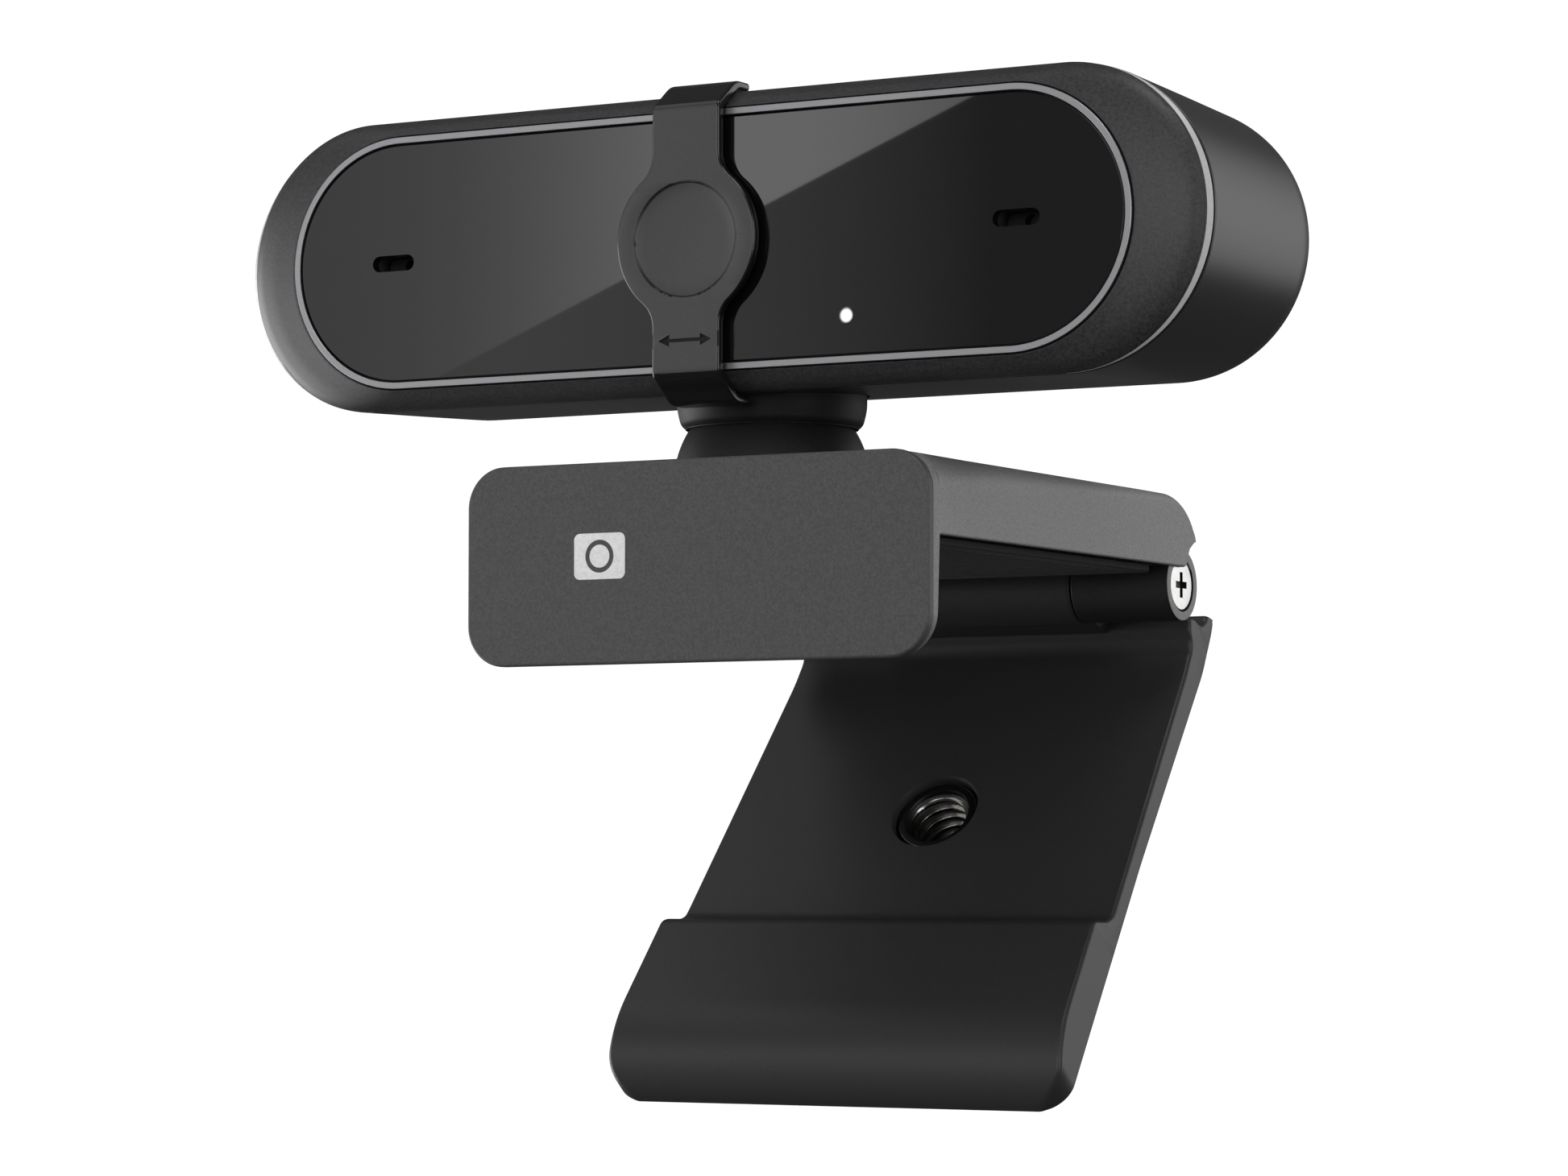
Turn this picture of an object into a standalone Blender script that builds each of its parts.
"""A webcam on a folding monitor clip.

The camera stands on a ball joint, a privacy cover slides along its front, and the clip's leg
folds on a hinge and holds a 1/4 inch tripod socket.

Lengths below are millimetres, measured from the middle of the clip's front plate: X to the right,
Y backwards from its front face, Z up. place() turns them into metres about the part's own origin,
which is the middle of the rubber face that rests on a monitor's top edge.
"""

import math

import bmesh
import bpy
from mathutils import Matrix, Vector

MM = 0.001
GAP = 0.3           # between pieces that touch
FINE_GAP = 0.15     # around trim, glass and screws

# Front plate, arm and jaw
REST_Y = 26.5       # the origin lies this far behind the plate's front face
REST_Z = 0.9        # and this far above the plate's middle
PLATE_HALF = (24.0, 9.2)
PLATE_CORNER = 3.8
PLATE_THICK = 1.0
JAW_FRONT = PLATE_THICK + GAP
JAW_BACK = 2.7
JAW_DROP = 9.0      # how far the jaw reaches below the plate's middle
ARM_HALF = 23.7
ARM_TOP = 9.1       # at the front; the top slopes down to
ARM_REAR_TOP = 8.6
ARM_BOTTOM = 1.64
ARM_CORNER = 2.6
ARM_REAR = 56.8
ARM_REAR_CURVE = 6.3
JAW_CORNER = 3.6
ARM_WALL = 1.1
CAVITY = (4.2, 49.9)    # the arm's hollow, front to back
CAVITY_TOP = 7.1
SCREW_SPOTS = [(side * 19.0, y) for side in (-1, 1) for y in (8.0, 45.5)]

# Hinge: an axis along X
HINGE_Y = 54.44
HINGE_Z = -0.08
BARREL_RADIUS = 3.5
LEG_KNUCKLE_HALF = 12.7
ARM_KNUCKLE_START = 12.95
PIN_RADIUS = 1.5
HINGE_HEAD_RADIUS = 2.6

# Leg: t runs down the slope from the socket's middle, n stands out of its front face
SOCKET_Y = 47.0
SOCKET_Z = -21.95
LEG_LEAN = math.radians(39.9)
LEG_TOP = -26.3
LEG_END = 34.5
LEG_HALF_TOP = 21.6
LEG_HALF_END = 24.35
LEG_THICK = 2.4
FOOT_RISE = 3.1
FOOT_CURVE_START = 26.0
INSERT_RADIUS = 4.1
INSERT_BORE = 2.75
INSERT_DEPTH = 7.3

# Ball joint
BALL_Y = 14.69
BALL_Z = 7.94
BALL_RADIUS = 9.1
DOME_SCREW_X = 11.2
DOME_OPENING = math.radians(34)
STUD_RADIUS = 1.5
CUP_RADIUS = 8.81
CUP_TOP = 18.8

# Camera: every cross-section is a stadium of half-distance a between its arcs' centres,
# end half-axis e and half-height r
CAMERA_Z = 28.82
BODY_HALF = 36.2
GLASS_HALF = 31.8
BODY_RADIUS = 13.6
BODY_END = 14.0
BEZEL_BACK = 2.9
POCKET_FLOOR = 1.35
TRIM_RADIUS = 11.77
TRIM_WIDTH = 0.55
TRIM_FRONT = 0.12
SHELL_BACK = 27.7
MIC_X = 32.5
LED_X = 15.7
LED_Z = 21.2
BOARD_Y = 16.0
BOARD_MID_Z = 29.8
BOARD_SPOTS = [(side * 27.0, BOARD_MID_Z + rise) for side in (-1, 1) for rise in (-6.2, 6.2)]
SHELL_SPOTS = [(side * 40.5, CAMERA_Z + rise) for side in (-1, 1) for rise in (-5.5, 5.5)]
GLAND_Z = 24.0

# Privacy cover
COVER_FRONT = -1.3
COVER_THICK = 1.0
STRAP_HALF = 3.5
DISC_RADIUS = 7.2
FILLET_HEIGHT = 7.8     # where the disc's concave fillets meet the strap
COVER_FLAT = 12.2
LIP_HEIGHT = 14.65
LIP_START = 1.93
LIP_END = 4.45

ARC_STEPS = 5
TURN_STEPS = 28
BALL_STEPS = 32      # around the dome and the cup
SMALL_STEPS = 16

for old_object in list(bpy.data.objects):
    bpy.data.objects.remove(old_object, do_unlink=True)
PARTS = bpy.data.collections.new("webcam_on_clip")
CUTTERS = bpy.data.collections.new("cutters")
for collection in (PARTS, CUTTERS):
    bpy.context.scene.collection.children.link(collection)


# ---------------------------------------------------------------- helpers

def place(x, y, z):
    """Millimetres from the plate's middle to metres about the part's origin."""
    return Vector((x, y - REST_Y, z - REST_Z)) * MM


def leg_point(t, n):
    """(y, z) of a point t down the leg's slope and n in front of its face."""
    sine, cosine = math.sin(LEG_LEAN), math.cos(LEG_LEAN)
    return SOCKET_Y - t * sine - n * cosine, SOCKET_Z - t * cosine + n * sine


def arc(centre, radii, start, end, steps=ARC_STEPS):
    """Points along an elliptical arc, angles in degrees."""
    angles = [math.radians(start + (end - start) * i / steps) for i in range(steps + 1)]
    return [(centre[0] + radii[0] * math.cos(a), centre[1] + radii[1] * math.sin(a)) for a in angles]


def rounded_rectangle(left, right, low, high, corner):
    """An outline with four round corners, anticlockwise."""
    corners = [(right - corner, low + corner, -90), (right - corner, high - corner, 0),
               (left + corner, high - corner, 90), (left + corner, low + corner, 180)]
    return [point for x, z, start in corners
            for point in arc((x, z), (corner, corner), start, start + 90)]


def slot_outline(centre, half, radius):
    """A pill: two half circles joined by straight lines, anticlockwise."""
    x, z = centre
    return (arc((x + half, z), (radius, radius), -90, 90, 2 * ARC_STEPS)
            + arc((x - half, z), (radius, radius), 90, 270, 2 * ARC_STEPS))


MATERIALS = {}


def material(name, colour=(0.05, 0.05, 0.055), roughness=0.5, metallic=0.0):
    """The named Principled material, made on first use."""
    if name not in MATERIALS:
        made = bpy.data.materials.new(name)
        made.use_nodes = True
        shader = made.node_tree.nodes["Principled BSDF"]
        shader.inputs["Base Color"].default_value = (*colour, 1.0)
        shader.inputs["Roughness"].default_value = roughness
        shader.inputs["Metallic"].default_value = metallic
        made.diffuse_color = (*colour, 1.0)
        MATERIALS[name] = made
    return MATERIALS[name]


def add_mesh(name, mesh, collection=PARTS):
    """A new object for this mesh."""
    made = bpy.data.objects.new(name, mesh)
    collection.objects.link(made)
    return made


def finish(piece, parent, surface):
    """Hangs a piece on its parent empty, keeping its place, and gives it its material."""
    piece.data.materials.clear()
    piece.data.materials.append(surface)
    if parent:
        piece.parent = parent
        piece.matrix_parent_inverse = Matrix.Translation(-parent.matrix_world.translation)
    return piece


def prism(name, outline, low, high, axis):
    """A flat outline extruded from low to high along X, Y or Z.

    The outline is (y, z) for X, (x, z) for Y and (x, y) for Z.
    """
    flat = bpy.data.curves.new(name, "CURVE")
    flat.dimensions = "2D"
    flat.fill_mode = "BOTH"
    flat.extrude = (high - low) / 2 * MM
    spline = flat.splines.new("POLY")
    spline.points.add(len(outline) - 1)
    for point, (u, v) in zip(spline.points, outline):
        point.co = (u * MM, v * MM, 0, 1)
    spline.use_cyclic_u = True
    outline_object = add_mesh(name + "_outline", flat)
    middle = (low + high) / 2
    turn, centre = {
        "X": ((math.pi / 2, 0, math.pi / 2), (middle, 0, 0)),
        "Y": ((math.pi / 2, 0, 0), (0, middle, 0)),
        "Z": ((0, 0, 0), (0, 0, middle)),
    }[axis]
    outline_object.location = place(*centre)
    outline_object.rotation_euler = turn
    bpy.context.view_layer.update()
    evaluated = outline_object.evaluated_get(bpy.context.evaluated_depsgraph_get())
    mesh = bpy.data.meshes.new_from_object(evaluated)
    solid = bmesh.new()
    solid.from_mesh(mesh)
    bmesh.ops.remove_doubles(solid, verts=solid.verts, dist=1e-6)
    bmesh.ops.recalc_face_normals(solid, faces=solid.faces)
    solid.to_mesh(mesh)
    solid.free()
    piece = add_mesh(name, mesh)
    piece.matrix_world = outline_object.matrix_world.copy()
    bpy.data.objects.remove(outline_object, do_unlink=True)
    return piece


def box(name, low, high, bevel=0.0):
    """A cuboid between two corners."""
    size = [b - a for a, b in zip(low, high)]
    bpy.ops.mesh.primitive_cube_add(size=1)
    piece = bpy.context.object
    piece.name = name
    piece.data.transform(Matrix.Diagonal((*[s * MM for s in size], 1)))
    piece.location = place(*[(a + b) / 2 for a, b in zip(low, high)])
    gather(piece)
    if bevel:
        rounding = piece.modifiers.new("rounding", "BEVEL")
        rounding.width = bevel * MM
        rounding.segments = 2
    return piece


def gather(piece, collection=PARTS):
    """Moves an object made by an operator into a collection."""
    for holder in list(piece.users_collection):
        holder.objects.unlink(piece)
    collection.objects.link(piece)
    return piece


def rod(name, radius, start, end, vertices=SMALL_STEPS):
    """A cylinder whose two ends are centred on two points."""
    low, high = place(*start), place(*end)
    bpy.ops.mesh.primitive_cylinder_add(vertices=vertices, radius=radius * MM, depth=(high - low).length)
    piece = gather(bpy.context.object)
    piece.name = name
    piece.location = (low + high) / 2
    piece.rotation_mode = "QUATERNION"
    piece.rotation_quaternion = (high - low).to_track_quat("Z", "Y")
    return piece


def turned(name, profile, centre, direction=(0, 0, 1), steps=TURN_STEPS):
    """A profile of (radius, height) turned about an axis through centre.

    The profile runs down its outer side. It is closed into a ring unless both ends are on the axis.
    """
    mesh = bpy.data.meshes.new(name)
    points = [(radius * MM, 0, height * MM) for radius, height in profile]
    edges = [(i, i + 1) for i in range(len(points) - 1)]
    if profile[0][0] > 0:
        edges.append((len(points) - 1, 0))
    mesh.from_pydata(points, edges, [])
    piece = add_mesh(name, mesh)
    piece.location = place(*centre)
    piece.rotation_mode = "QUATERNION"
    piece.rotation_quaternion = Vector(direction).to_track_quat("Z", "Y")
    screw = piece.modifiers.new("turning", "SCREW")
    screw.steps = screw.render_steps = steps
    screw.use_merge_vertices = True
    screw.merge_threshold = 1e-5
    return piece


def stadium_loft(name, sections, closed=False):
    """Stadium loops (y, a, e, r) about the camera's middle, joined in order.

    An open row is capped at both ends; a closed one joins its last loop to its first.
    """
    solid = bmesh.new()
    loops = []
    for y, a, e, r in sections:
        outline = arc((a, 0), (e, r), -90, 90, 2 * ARC_STEPS) + arc((-a, 0), (e, r), 90, 270, 2 * ARC_STEPS)
        loops.append([solid.verts.new(place(x, y, CAMERA_Z + z)) for x, z in outline])
    pairs = list(zip(loops, loops[1:])) + ([(loops[-1], loops[0])] if closed else [])
    for first, second in pairs:
        for i in range(len(first)):
            j = (i + 1) % len(first)
            solid.faces.new((first[i], first[j], second[j], second[i]))
    if not closed:
        solid.faces.new(loops[0])
        solid.faces.new(loops[-1])
    bmesh.ops.recalc_face_normals(solid, faces=solid.faces)
    mesh = bpy.data.meshes.new(name)
    solid.to_mesh(mesh)
    solid.free()
    return add_mesh(name, mesh)


def combine(piece, tool, operation):
    """Adds a Boolean and hides its tool."""
    change = piece.modifiers.new(tool.name, "BOOLEAN")
    change.operation = operation
    change.object = tool
    gather(tool, CUTTERS)
    tool.hide_render = True
    tool.display_type = "WIRE"


def cut(piece, *tools):
    for tool in tools:
        combine(piece, tool, "DIFFERENCE")


def join(piece, *tools):
    for tool in tools:
        combine(piece, tool, "UNION")


def trim_to(piece, tool):
    combine(piece, tool, "INTERSECT")


def empty(name, centre, parent=None):
    """A joint's frame: an empty on its axis."""
    made = bpy.data.objects.new(name, None)
    PARTS.objects.link(made)
    made.location = place(*centre)
    if parent:
        made.parent = parent
        made.matrix_parent_inverse = Matrix.Translation(-parent.matrix_world.translation)
    bpy.context.view_layer.update()
    return made


def smooth(piece, angle=35):
    """Smooth shading with sharp edges where faces meet at more than this angle."""
    piece.data.shade_smooth()
    piece.data.set_sharp_from_angle(angle=math.radians(angle))


def screw(name, head, tip, head_radius, head_height, shank_radius, parent):
    """A small screw: a flat head whose outer face is centred on head, and a shank down to tip."""
    direction = Vector(head) - Vector(tip)
    length = direction.length
    profile = [(0, length), (head_radius, length), (head_radius, length - head_height),
               (shank_radius, length - head_height), (shank_radius, 0), (0, 0)]
    piece = turned(name, profile, tip, direction, steps=12)
    return finish(piece, parent, STEEL)


SATIN_BLACK = material("satin_black_plastic", (0.012, 0.012, 0.013), 0.45)
GRAINY_BLACK = material("grainy_black_plastic", (0.03, 0.03, 0.032), 0.6)
PLATE_GREY = material("front_plate_grey", (0.062, 0.062, 0.062), 0.55)
COVER_BLACK = material("cover_black_plastic", (0.05, 0.05, 0.05), 0.5)
TRIM_SILVER = material("silver_trim", (0.3, 0.3, 0.31), 0.3, 1.0)
GLASS = material("black_glass", (0.02, 0.02, 0.022), 0.05)
RUBBER = material("black_rubber", (0.02, 0.02, 0.02), 0.85)
STEEL = material("zinc_steel", (0.7, 0.7, 0.7), 0.3, 1.0)
BRASS = material("nickel_insert", (0.55, 0.54, 0.5), 0.3, 1.0)
BOARD_GREEN = material("circuit_board", (0.02, 0.12, 0.05), 0.5)
LENS = material("lens_glass", (0.05, 0.06, 0.09), 0.02)
DARK_METAL = material("blackened_metal", (0.04, 0.04, 0.04), 0.35, 1.0)
WHITE_PLASTIC = material("white_plastic", (0.8, 0.8, 0.78), 0.4)
CLEAR_PLASTIC = material("light_guide_plastic", (0.85, 0.88, 0.9), 0.1)


# ---------------------------------------------------------------- clip

def arm_outline():
    """The arm's side view, down to the barrel behind it."""
    curve_low = 4.2
    corner = arc((ARM_REAR - ARM_REAR_CURVE, curve_low), (ARM_REAR_CURVE, ARM_REAR_TOP - curve_low), 90, 0)
    return [(JAW_FRONT, ARM_BOTTOM), (ARM_REAR - 2.2, ARM_BOTTOM), (ARM_REAR - 1.4, 3.35),
            *reversed(corner), (JAW_FRONT, ARM_TOP)]


def arm_section(half, top, corner):
    """The arm's front view: square below, round above."""
    return [(-half, ARM_BOTTOM - 1), (half, ARM_BOTTOM - 1),
            *arc((half - corner, top - corner), (corner, corner), 0, 90),
            *arc((corner - half, top - corner), (corner, corner), 90, 180)]


def knuckle(name, start, end, radius):
    """A cylinder on the hinge axis between two stations along X."""
    return rod(name, radius, (start, HINGE_Y, HINGE_Z), (end, HINGE_Y, HINGE_Z), TURN_STEPS)


def build_arm_shell(body):
    shell = prism("arm_shell", arm_outline(), -ARM_HALF, ARM_HALF, "X")
    trim_to(shell, prism("arm_section", arm_section(ARM_HALF, ARM_TOP, ARM_CORNER),
                         JAW_FRONT - 1, ARM_REAR + 2, "Y"))
    hollow = prism("arm_hollow", arm_section(ARM_HALF - ARM_WALL, CAVITY_TOP, 2.5), *CAVITY, "Y")
    cut(shell, hollow)
    jaw = rounded_rectangle(-ARM_HALF, ARM_HALF, -JAW_DROP, ARM_TOP, JAW_CORNER)
    join(shell, prism("jaw", jaw, JAW_FRONT, JAW_BACK, "Y"))
    for side in (-1, 1):
        join(shell, knuckle(f"arm_knuckle_{side}", side * ARM_KNUCKLE_START, side * ARM_HALF, BARREL_RADIUS))
    for number, (x, y) in enumerate(SCREW_SPOTS, 1):
        join(shell, rod(f"arm_boss_{number}", 2.3, (x, y, 3.5), (x, y, CAVITY_TOP + 0.4)))
        cut(shell, rod(f"arm_boss_hole_{number}", 0.95, (x, y, 2.5), (x, y, 7.2)))
    cut(shell, knuckle("leg_knuckle_room", -ARM_KNUCKLE_START, ARM_KNUCKLE_START, BARREL_RADIUS + GAP),
        knuckle("arm_pin_bore", -ARM_HALF - 1, ARM_HALF + 1, PIN_RADIUS + GAP),
        rod("dome_hole", BALL_RADIUS + GAP, (0, BALL_Y, 5), (0, BALL_Y, 10), BALL_STEPS))
    for side in (-1, 1):
        cut(shell, knuckle(f"hinge_head_seat_{side}", side * (ARM_HALF - 1.1), side * (ARM_HALF + 1),
                           HINGE_HEAD_RADIUS + GAP),
            rod(f"dome_screw_hole_{side}", 0.85, (side * DOME_SCREW_X, BALL_Y, 6),
                (side * DOME_SCREW_X, BALL_Y, 7.9)))
    finish(shell, body, GRAINY_BLACK)


def build_clip(body):
    build_arm_shell(body)
    width, height = PLATE_HALF
    plate = prism("front_plate", rounded_rectangle(-width, width, -height, height, PLATE_CORNER),
                  0, PLATE_THICK, "Y")
    finish(plate, body, PLATE_GREY)

    inner = ARM_HALF - ARM_WALL - GAP
    cover = box("arm_cover", (-inner, CAVITY[0] + GAP, 1.92), (inner, CAVITY[1] - GAP, 3.2))
    for number, (x, y) in enumerate(SCREW_SPOTS, 1):
        cut(cover, rod(f"cover_hole_{number}", 1.1, (x, y, 1), (x, y, 4)),
            rod(f"cover_seat_{number}", 1.85, (x, y, 1), (x, y, 2.8)))
        screw(f"arm_cover_screw_{number}", (x, y, 2.0), (x, y, 6.6), 1.6, 0.6, 0.8, body)
    finish(cover, body, SATIN_BLACK)
    pad = prism("rest_pad", rounded_rectangle(-inner, inner, CAVITY[0] + GAP, CAVITY[1] - GAP, 1.5),
                REST_Z, 1.62, "Z")
    finish(pad, body, RUBBER)
    jaw_pad = prism("jaw_pad", rounded_rectangle(-20.5, 20.5, -7.4, 0.5, 1.5), JAW_BACK + GAP, 3.8, "Y")
    finish(jaw_pad, body, RUBBER)

    pin = knuckle("hinge_pin", -21.8, 21.8, PIN_RADIUS)
    for side in (-1, 1):
        cut(pin, knuckle(f"pin_end_bore_{side}", side * 16.5, side * 22.5, 1.05))
        screw(f"hinge_screw_{'left' if side < 0 else 'right'}", (side * ARM_HALF, HINGE_Y, HINGE_Z),
              (side * 17.2, HINGE_Y, HINGE_Z), HINGE_HEAD_RADIUS, 0.8, 0.9, body)
        washer = knuckle(f"hinge_washer_{'left' if side < 0 else 'right'}", side * 12.1, side * 12.65, 2.6)
        cut(washer, knuckle(f"washer_hole_{side}", side * 11, side * 14, PIN_RADIUS + FINE_GAP))
        finish(washer, body, STEEL)
    finish(pin, body, STEEL)


# ---------------------------------------------------------------- leg

def leg_outline():
    """The leg's side view: a rounded top with a groove, a flat face, a step and a thick rounded foot."""
    top = [(-17.2, 0.0), (-20.1, 0.3), (-21.0, 0.9), (-21.6, 1.8), (-22.6, 2.5), (-23.2, 1.9),
           (-24.1, -0.2), (-25.2, -0.75), (LEG_TOP, -1.1), (-26.1, -1.9), (-25.7, -2.5), (-25.0, -2.8)]
    back = [(-20.2, -3.4), (5.0, -LEG_THICK - 0.1)]
    foot = arc((FOOT_CURVE_START, -LEG_THICK), (LEG_END - FOOT_CURVE_START, FOOT_RISE + LEG_THICK), 0, 90, 8)
    step = [(16.6, FOOT_RISE), (16.0, 2.7), (14.4, 0.7), (13.4, 0.05), (12.6, 0.0)]
    return [leg_point(t, n) for t, n in [*top, *back, *foot, *step]]


def leg_front_outline():
    """The leg's front view along its slope, as (x, t): it widens downwards and ends in round corners."""
    corner = 3.0
    half = LEG_HALF_END - corner
    return [(-LEG_HALF_TOP, LEG_TOP - 1), (LEG_HALF_TOP, LEG_TOP - 1),
            *arc((half, LEG_END - corner), (corner, corner + 0.1), 0, 90),
            *arc((-half, LEG_END - corner), (corner, corner + 0.1), 90, 180)]


def leg_sheet(name, outline, low, high):
    """An outline in the leg's own plane, as (x, t), extruded along the face's normal."""
    piece = prism(name, [(x, -t) for x, t in outline], low, high, "Z")
    middle = (low + high) / 2
    y, z = leg_point(0, middle)
    piece.matrix_world = (Matrix.Translation(place(0, y, z))
                          @ Matrix.Rotation(math.pi / 2 - LEG_LEAN, 4, "X"))
    return piece


def build_leg(body):
    leg = prism("leg", leg_outline(), -LEG_HALF_END - 1, LEG_HALF_END + 1, "X")
    trim_to(leg, leg_sheet("leg_front", leg_front_outline(), -6, 6))
    web = [(0, 0), (3.3, -1.2), (5.4, -2.75), (6.6, -2.75), (6.2, -4.4), (5.0, -4.25), (1.8, -3.0), (0, -3.2)]
    join(leg, knuckle("leg_knuckle", -LEG_KNUCKLE_HALF, LEG_KNUCKLE_HALF, BARREL_RADIUS),
         prism("leg_web", [(HINGE_Y + y, HINGE_Z + z) for y, z in web],
               -LEG_KNUCKLE_HALF, LEG_KNUCKLE_HALF, "X"))

    def down_bore(n):
        return (0, *leg_point(0, n))

    join(leg, rod("socket_boss", 6.0, down_bore(-1.5), down_bore(-8.6), TURN_STEPS))
    cut(leg, rod("socket_hole", INSERT_RADIUS + GAP, down_bore(2), down_bore(-7.6), TURN_STEPS),
        knuckle("leg_pin_bore", -15, 15, PIN_RADIUS + GAP))
    for side in (-1, 1):
        cut(leg, knuckle(f"washer_seat_{side}", side * 11.8, side * 14, 2.9))
    finish(leg, body, SATIN_BLACK)

    normal = Vector((0, -math.cos(LEG_LEAN), math.sin(LEG_LEAN)))
    top = -0.7
    profile = [(INSERT_BORE + 0.5, top), (INSERT_RADIUS, top), (INSERT_RADIUS, -INSERT_DEPTH),
               (INSERT_BORE, -INSERT_DEPTH), (INSERT_BORE, top - 0.5)]
    insert = turned("threaded_insert", profile, down_bore(0), normal)
    finish(insert, body, BRASS)


# ---------------------------------------------------------------- ball joint

def friction_washer(name, outer, inner, start, end, parent):
    """Part of a hollow sphere about the ball's centre, between two angles from its upward axis."""
    start, end, steps = 90 - start, 90 - end, 3
    profile = (arc((0, 0), (outer, outer), start, end, steps)
               + list(reversed(arc((0, 0), (inner, inner), start, end, steps))))
    piece = turned(name, profile, (0, BALL_Y, BALL_Z), steps=BALL_STEPS)
    finish(piece, parent, DARK_METAL)


def build_dome(body):
    """The fixed half ball on the arm: hollow, open at the top, with a flange inside the arm."""
    opening = math.degrees(DOME_OPENING)
    inner = BALL_RADIUS - 1.5
    flange_top, flange_low = 6.7 - BALL_Z, 5.6 - BALL_Z
    profile = (arc((0, 0), (BALL_RADIUS, BALL_RADIUS), 90 - opening, 0, 6)
               + [(BALL_RADIUS, flange_top), (12.6, flange_top), (12.6, flange_low), (inner, flange_low)]
               + arc((0, 0), (inner, inner), 0, 90 - opening, 5))
    dome = turned("ball_dome", profile, (0, BALL_Y, BALL_Z), steps=BALL_STEPS)
    cut(dome, box("flange_flat", (-15, 0, 5), (15, CAVITY[0] + GAP, 6.9)))
    for side in (-1, 1):
        x = side * DOME_SCREW_X
        cut(dome, rod(f"flange_hole_{side}", 0.95, (x, BALL_Y, 5), (x, BALL_Y, 7)))
        screw(f"dome_screw_{'left' if side < 0 else 'right'}", (x, BALL_Y, 4.7), (x, BALL_Y, 7.7),
              1.25, 0.6, 0.7, body)
    finish(dome, body, GRAINY_BLACK)


def build_neck(camera):
    """The cup that turns on the dome, and the stud, washer, spring and nut that clamp it from inside."""
    rim_angle, inner = 58.5, BALL_RADIUS + GAP
    profile = [(2.9, CUP_TOP - BALL_Z), (CUP_RADIUS, CUP_TOP - BALL_Z), (CUP_RADIUS, 7.0), (8.7, 6.3),
               (8.46, 5.36), (8.02, 4.96)]
    profile += arc((0, 0), (inner, inner), 90 - rim_angle, 78, 5)
    profile += [(STUD_RADIUS + 0.2, 9.2), (STUD_RADIUS + 0.2, 9.6), (2.9, 9.6)]
    cup = turned("neck_cup", profile, (0, BALL_Y, BALL_Z), steps=BALL_STEPS)
    finish(cup, camera, GRAINY_BLACK)
    screw("pivot_stud", (0, BALL_Y, BALL_Z + 11.0), (0, BALL_Y, BALL_Z - 3.2), 2.5, 1.0, STUD_RADIUS, camera)
    bore = STUD_RADIUS + FINE_GAP
    washer = arc((0, 0), (4.8, 4.8), 68, 42, 3) + [(3.4, 1.9), (bore, 1.9)]
    finish(turned("clamp_washer", washer, (0, BALL_Y, BALL_Z), steps=SMALL_STEPS), camera, DARK_METAL)
    spring = [(bore, 1.6), (2.2, 1.6), (3.3, 0.4), (3.0, 0.2), (2.1, 1.2), (bore, 1.2)]
    finish(turned("clamp_spring", spring, (0, BALL_Y, BALL_Z), steps=SMALL_STEPS), camera, STEEL)
    nut = rod("stud_nut", 3.0, (0, BALL_Y, BALL_Z - 2.4), (0, BALL_Y, BALL_Z - 0.1), vertices=6)
    cut(nut, rod("nut_bore", bore, (0, BALL_Y, BALL_Z - 4), (0, BALL_Y, BALL_Z + 2)))
    finish(nut, camera, STEEL)


# ---------------------------------------------------------------- camera

def ring_profile(y, a, radius):
    """A stadium section whose ends are true half circles."""
    return y, a, radius, radius


def build_bezel(camera):
    pocket = TRIM_RADIUS + FINE_GAP
    sections = [ring_profile(POCKET_FLOOR, GLASS_HALF, pocket), ring_profile(0.35, GLASS_HALF, pocket),
                (0.42, GLASS_HALF + 0.2, pocket + 0.2, pocket + 0.15),
                (1.1, 34.0, 12.9, 12.85), (1.7, 35.4, 13.25, 13.3), (2.4, BODY_HALF, 13.4, BODY_RADIUS),
                (BEZEL_BACK, BODY_HALF, BODY_END, BODY_RADIUS)]
    bezel = stadium_loft("front_bezel", sections)
    for number, (x, z) in enumerate(BOARD_SPOTS, 1):
        join(bezel, rod(f"board_post_{number}", 2.0, (x, 2.5, z), (x, BOARD_Y - GAP, z)))
        cut(bezel, rod(f"board_post_hole_{number}", 0.95, (x, 9.5, z), (x, 18, z)))
    for number, (x, z) in enumerate(SHELL_SPOTS, 1):
        cut(bezel, rod(f"bezel_hole_{number}", 1.1, (x, 0.5, z), (x, 5, z)),
            rod(f"bezel_seat_{number}", 1.95, (x, 0.5, z), (x, 2.1, z)))
    cut(bezel, rod("lens_window", 5.4, (0, 0, CAMERA_Z), (0, 5, CAMERA_Z), TURN_STEPS),
        rod("led_window", 0.95, (LED_X, 0, LED_Z), (LED_X, 5, LED_Z)))
    for side in (-1, 1):
        cut(bezel, prism(f"bezel_mic_slot_{side}", slot_outline((side * MIC_X, CAMERA_Z), 1.55, 0.75),
                         0, 5, "Y"))
    finish(bezel, camera, GRAINY_BLACK)


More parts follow.
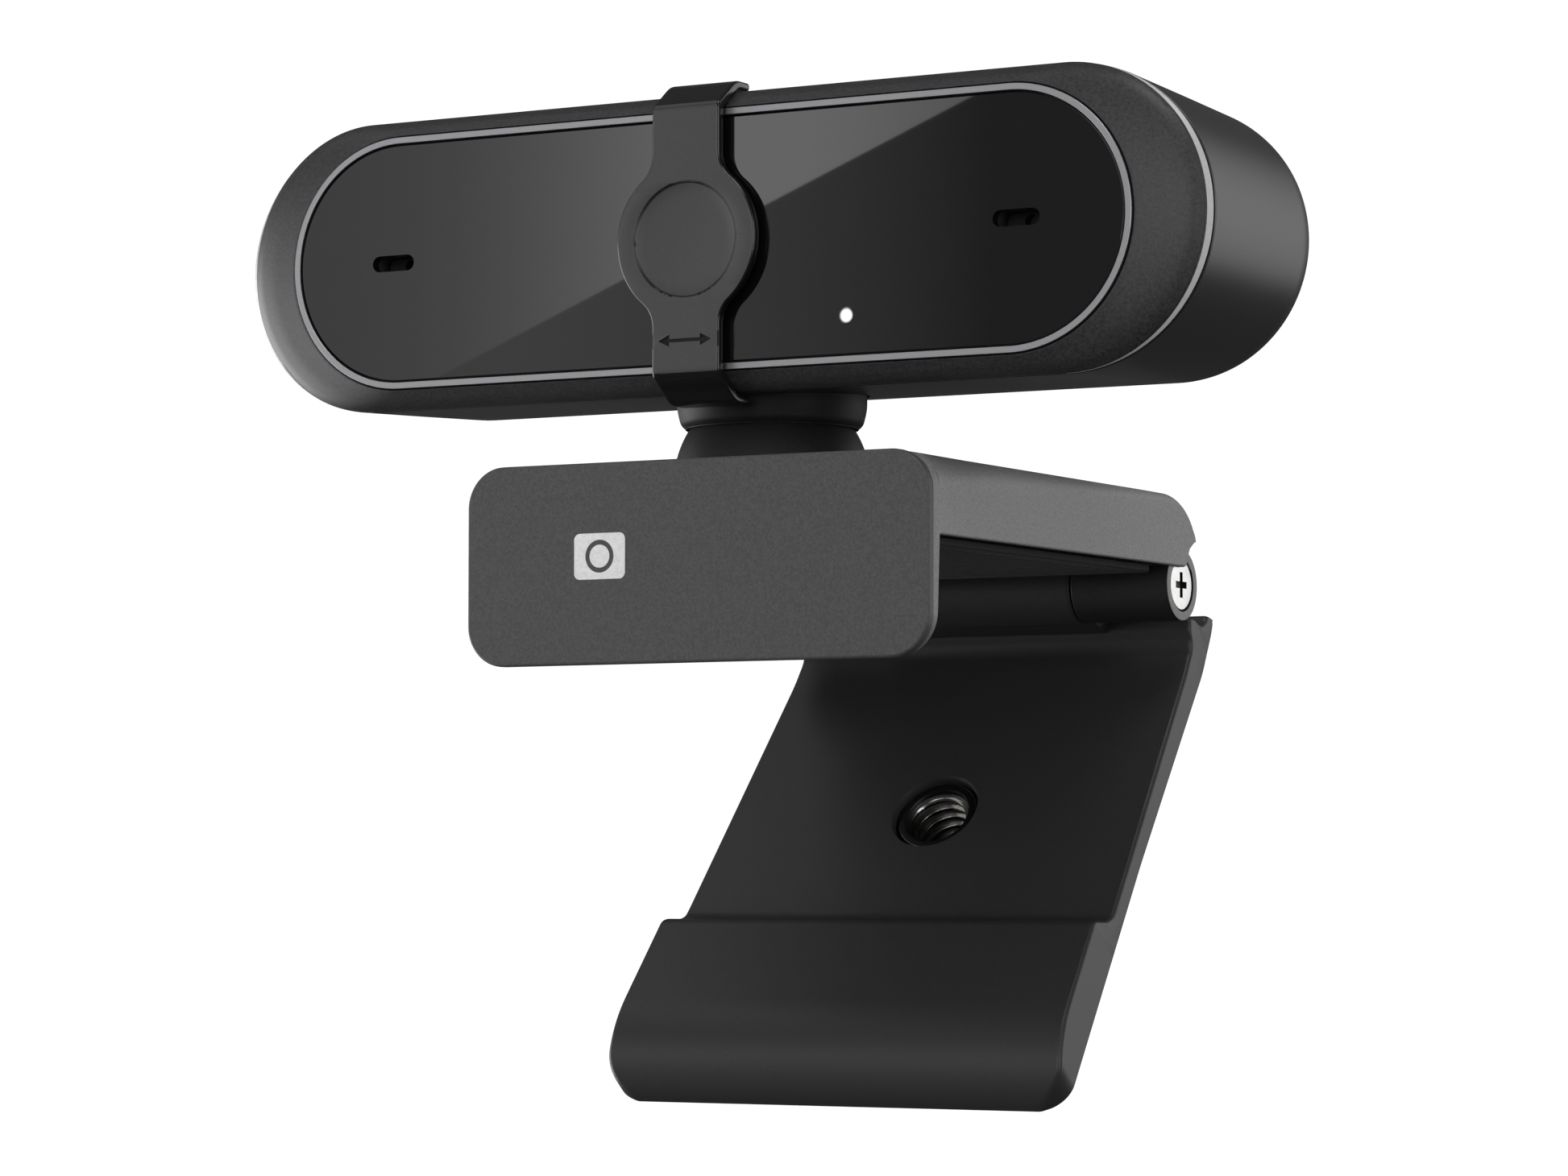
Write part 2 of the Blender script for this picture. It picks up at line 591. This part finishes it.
def build_front(camera):
    """The silver ring, the glass with its two microphone slots, and what sits behind the slots."""
    inner = TRIM_RADIUS - TRIM_WIDTH
    back = POCKET_FLOOR - FINE_GAP
    ring = stadium_loft("trim_ring", [ring_profile(y, GLASS_HALF, radius) for y, radius in
                                      ((TRIM_FRONT, TRIM_RADIUS), (back, TRIM_RADIUS), (back, inner),
                                       (TRIM_FRONT, inner))], closed=True)
    finish(ring, camera, TRIM_SILVER)
    edge = inner - FINE_GAP
    glass = stadium_loft("front_glass", [ring_profile(0.25, GLASS_HALF, edge), ring_profile(back, GLASS_HALF, edge)])
    for side in (-1, 1):
        word = "left" if side < 0 else "right"
        cut(glass, prism(f"mic_slot_{word}", slot_outline((side * MIC_X, CAMERA_Z), 1.55, 0.75), -1, 3, "Y"))
        boot = turned(f"mic_boot_{word}", [(2.0, 2.4), (3.2, 2.4), (3.2, 0), (0.6, 0), (0.6, 0.8), (2.0, 0.8)],
                      (side * MIC_X, BEZEL_BACK + GAP, CAMERA_Z), (0, 1, 0), steps=SMALL_STEPS)
        finish(boot, camera, RUBBER)
        capsule = rod(f"mic_capsule_{word}", 1.8, (side * MIC_X, 4.3, CAMERA_Z),
                      (side * MIC_X, 6.2, CAMERA_Z))
        finish(capsule, camera, DARK_METAL)
    finish(glass, camera, GLASS)


def build_optics(camera):
    def along(y):
        return (0, y, CAMERA_Z)

    barrel = [(4.2, 0), (4.9, 0), (4.9, 7.4), (3.2, 7.4), (3.2, 4.6), (4.2, 4.6)]
    # The axis points backwards, so a profile read from the front runs up its outer side: reverse it.
    finish(turned("lens_barrel", list(reversed(barrel)), along(1.7), (0, 1, 0)), camera, DARK_METAL)
    front = [(0, 2.6)] + arc((0, 1.2), (3.9, 1.4), 80, 0, 3) + arc((0, 1.0), (3.9, 0.8), 0, -80, 3) + [(0, 0.2)]
    finish(turned("front_lens_element", front, along(2.3), (0, 1, 0), steps=20), camera, LENS)
    rear = [(0, 1.6)] + arc((0, 0.9), (2.9, 0.7), 80, 0, 2) + arc((0, 0.7), (2.9, 0.5), 0, -80, 2) + [(0, 0.2)]
    finish(turned("rear_lens_element", rear, along(6.6), (0, 1, 0), steps=20), camera, LENS)

    holder = rod("lens_holder", 6.2, along(5.2), along(11), TURN_STEPS)
    join(holder, box("holder_base", (-7, 10, CAMERA_Z - 7), (7, BOARD_Y - GAP, CAMERA_Z + 7)))
    cut(holder, rod("holder_bore", 5.2, along(4), along(11.5), TURN_STEPS),
        box("sensor_room", (-4.6, 11, CAMERA_Z - 4.6), (4.6, 18, CAMERA_Z + 4.6)))
    finish(holder, camera, SATIN_BLACK)
    sensor = box("image_sensor", (-3.6, BOARD_Y - 1.2, CAMERA_Z - 3.6), (3.6, BOARD_Y - GAP, CAMERA_Z + 3.6))
    finish(sensor, camera, DARK_METAL)


def build_electronics(camera):
    board = box("main_board", (-38, BOARD_Y, BOARD_MID_Z - 8.3), (38, BOARD_Y + 1.2, BOARD_MID_Z + 8.3))
    for number, (x, z) in enumerate(BOARD_SPOTS, 1):
        cut(board, rod(f"board_hole_{number}", 1.05, (x, 14, z), (x, 19, z)))
        screw(f"board_screw_{number}", (x, BOARD_Y + 2.5, z), (x, 10.2, z), 1.7, 0.9, 0.8, camera)
    finish(board, camera, BOARD_GREEN)
    finish(box("cable_header", (-12, BOARD_Y + 1.5, 33), (-4, BOARD_Y + 5.5, 37)), camera, WHITE_PLASTIC)
    finish(box("image_processor", (8, BOARD_Y + 1.5, 27), (17, BOARD_Y + 2.7, 36)), camera, DARK_METAL)
    led_low, led_high = (LED_X - 0.8, BOARD_Y - 1.1, LED_Z + 0.4), (LED_X + 0.8, BOARD_Y - GAP, LED_Z + 1.6)
    finish(box("status_led", led_low, led_high), camera, WHITE_PLASTIC)
    pipe = rod("light_pipe", 0.75, (LED_X, POCKET_FLOOR, LED_Z), (LED_X, BOARD_Y - 1.5, LED_Z))
    finish(pipe, camera, CLEAR_PLASTIC)


def build_rear_shell(camera):
    front = BEZEL_BACK + GAP
    inner = [(SHELL_BACK - 1.7, 36.0, 9.4, 9.4), (SHELL_BACK - 3.0, 36.5, 10.7, 10.7), (front, BODY_HALF, 12.4, 12.0)]
    outer = [(front, BODY_HALF, BODY_END, BODY_RADIUS), (14.0, 36.48, 13.27, 13.1), (25.0, 36.76, 12.54, 12.54),
             (26.2, 36.7, 12.15, 12.15), (27.1, 36.6, 11.3, 11.3), (27.6, 36.4, 10.2, 10.2),
             (SHELL_BACK, 36.2, 9.0, 9.0)]
    shell = stadium_loft("rear_shell", inner + outer)
    for number, (x, z) in enumerate(SHELL_SPOTS, 1):
        join(shell, rod(f"shell_post_{number}", 2.2, (x, front + 0.2, z), (x, 26.5, z)))
        cut(shell, rod(f"shell_post_hole_{number}", 0.95, (x, 2, z), (x, 13, z)))
        screw(f"shell_screw_{number}", (x, 1.5, z), (x, 12, z), 1.75, 0.5, 0.8, camera)
    cut(shell, rod("cup_hole", CUP_RADIUS + GAP, (0, BALL_Y, 12), (0, BALL_Y, 20), BALL_STEPS),
        rod("gland_hole", 3.6, (0, 22, GLAND_Z), (0, 30, GLAND_Z), TURN_STEPS))
    finish(shell, camera, SATIN_BLACK)
    gland = [(2.0, 4.7), (3.7, 4.5), (4.6, 3.6), (4.6, 3.1), (3.4, 3.1), (3.4, 0.7), (4.6, 0.7), (4.6, 0.0), (2.0, 0.0)]
    finish(turned("cable_gland", gland, (0, SHELL_BACK - 2.8, GLAND_Z), (0, 1, 0)), camera, RUBBER)


# ---------------------------------------------------------------- privacy cover

def cover_front_outline():
    """A strap that swells into a disc through four concave fillets, about the camera's middle."""
    fillet = ((STRAP_HALF ** 2 + FILLET_HEIGHT ** 2 - DISC_RADIUS ** 2)
              / (2 * (DISC_RADIUS - STRAP_HALF)))
    centre_x = STRAP_HALF + fillet
    meet = math.degrees(math.atan2(FILLET_HEIGHT, centre_x))
    reach = LIP_HEIGHT + 1
    corner = (arc((centre_x, -FILLET_HEIGHT), (fillet, fillet), 180, 180 - meet)
              + arc((0, 0), (DISC_RADIUS, DISC_RADIUS), -meet, meet, 14)[1:-1]
              + arc((centre_x, FILLET_HEIGHT), (fillet, fillet), 180 + meet, 180))
    right = [(STRAP_HALF, -reach), *corner, (STRAP_HALF, reach)]
    outline = right + [(-x, z) for x, z in reversed(right)]
    return [(x, CAMERA_Z + z) for x, z in outline]


def cover_side_outline():
    """A bent strip: flat across the front, sloping back to a lip above and below the body."""
    outer = [(COVER_FRONT, COVER_FLAT), (LIP_START, LIP_HEIGHT), (LIP_END, LIP_HEIGHT)]
    lip = LIP_HEIGHT - 0.75
    inner = [(LIP_END, lip), (LIP_START + 0.5, lip), (COVER_FRONT + COVER_THICK, COVER_FLAT - 0.38)]
    upper = outer + inner
    lower = [(y, -z) for y, z in reversed(upper)]
    return [(y, CAMERA_Z + z) for y, z in upper + lower]


def build_cover(body):
    cover = prism("privacy_cover", cover_side_outline(), -DISC_RADIUS - 1, DISC_RADIUS + 1, "X")
    trim_to(cover, prism("cover_front", cover_front_outline(), COVER_FRONT - 1, LIP_END + 1, "Y"))
    finish(cover, body, COVER_BLACK)


# ---------------------------------------------------------------- assembly

clip_frame = empty("clip_frame", (0, REST_Y, REST_Z))
leg_frame = empty("leg_frame", (0, HINGE_Y, HINGE_Z), clip_frame)
pan_frame = empty("pan_frame", (0, BALL_Y, BALL_Z), clip_frame)
tilt_frame = empty("tilt_frame", (0, BALL_Y, BALL_Z), pan_frame)
roll_frame = empty("roll_frame", (0, BALL_Y, BALL_Z), tilt_frame)
cover_frame = empty("cover_frame", (0, COVER_FRONT, CAMERA_Z), roll_frame)

build_clip(clip_frame)
build_leg(leg_frame)
build_dome(clip_frame)
friction_washer("pan_guide", BALL_RADIUS - 1.8, 6.4, 39, 64, pan_frame)
friction_washer("tilt_guide", 6.1, 5.1, 31, 62, tilt_frame)
build_neck(roll_frame)
build_bezel(roll_frame)
build_front(roll_frame)
build_optics(roll_frame)
build_electronics(roll_frame)
build_rear_shell(roll_frame)
build_cover(cover_frame)

for piece in PARTS.objects:
    if piece.type == "MESH":
        smooth(piece)
